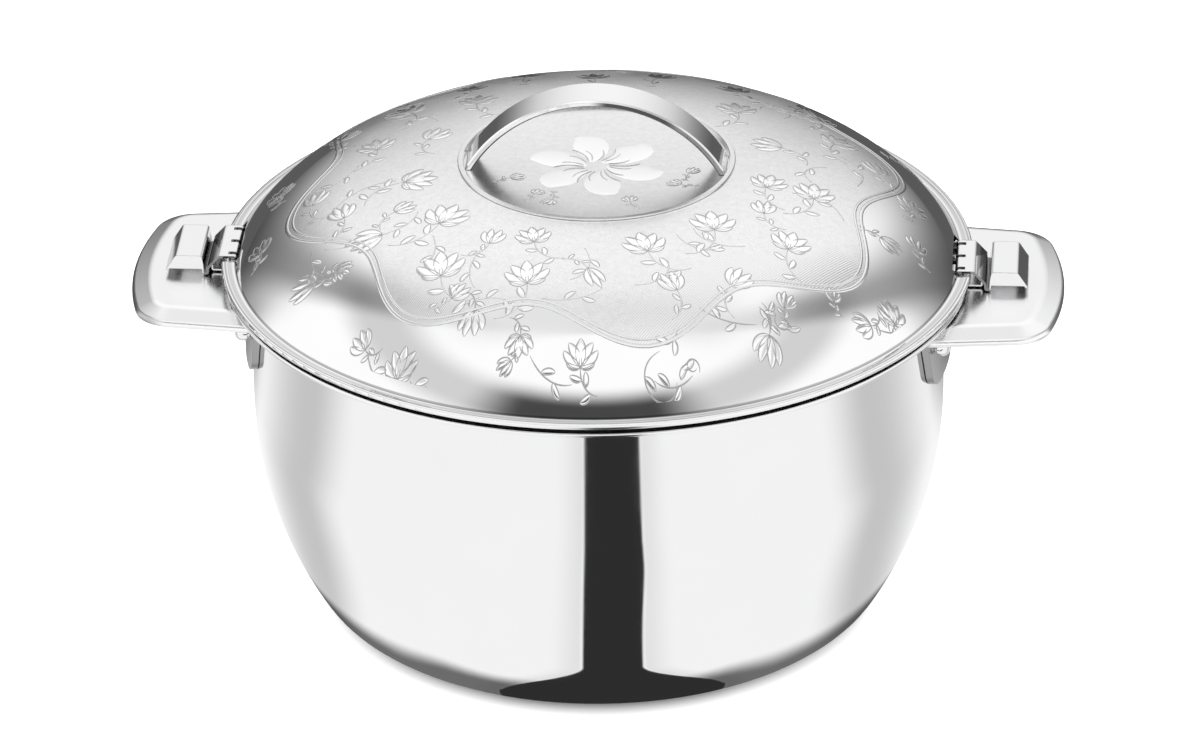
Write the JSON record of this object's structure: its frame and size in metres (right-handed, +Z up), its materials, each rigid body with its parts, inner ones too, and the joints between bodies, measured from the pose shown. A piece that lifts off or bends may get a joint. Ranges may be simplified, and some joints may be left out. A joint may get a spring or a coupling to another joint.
{
  "type": "insulated casserole",
  "caption": "Round double-wall steel food pot with a domed lid, a strap handle in a shallow dish, tray-shaped side handles and hinged clips that latch the lid down.",
  "frame": {"origin": "centre of the base, on the plane the pot stands on", "axes": "+Z up through the lid handle, +X through the right-hand side handle and latch clip, +Y away from the side the picture is taken from"},
  "size_m": [0.36, 0.29, 0.2112],
  "materials": {
    "polished_steel": "polished",
    "etched_steel": "satin",
    "plain_steel": "satin",
    "insulation_foam": "matte",
    "gasket_rubber": "matte",
    "plug_rubber": "matte"
  },
  "bodies": {
    "body": {"outer_shell": "polished_steel", "inner_bowl": "polished_steel", "body_foam": "insulation_foam", "base_plug": "plug_rubber", "side_handle_right": "polished_steel", "side_handle_left": "polished_steel", "handle_rivets_right": "polished_steel", "handle_rivets_left": "polished_steel"},
    "lid": {"lid_dome": "etched_steel", "lid_dish": "etched_steel", "lid_handle": "polished_steel", "lid_inner_pan": "plain_steel", "lid_foam": "insulation_foam", "lid_gasket": "gasket_rubber", "hinge_bracket_right": "plain_steel", "hinge_bracket_left": "plain_steel", "hinge_pin_right": "plain_steel", "hinge_pin_left": "plain_steel"},
    "latch_right": {"latch_clip_right": "polished_steel", "latch_hook_right": "plain_steel"},
    "latch_left": {"latch_clip_left": "polished_steel", "latch_hook_left": "plain_steel"}
  },
  "joints": [
    {"name": "lid_lift", "type": "slide", "parent": "body", "child": "lid", "axis": [0, 0, 1], "range_m": [0, 0.09], "deforming": ["latch_hook_right", "latch_hook_left"]},
    {"name": "latch_right_hinge", "type": "hinge", "parent": "lid", "child": "latch_right", "pos_m": [0.1398, 0, 0.1428], "axis": [0, -1, 0], "range_deg": [0, 95], "deforming": ["latch_hook_right"]},
    {"name": "latch_left_hinge", "type": "hinge", "parent": "lid", "child": "latch_left", "pos_m": [-0.1398, 0, 0.1428], "axis": [0, 1, 0], "range_deg": [0, 95], "deforming": ["latch_hook_left"]}
  ]
}
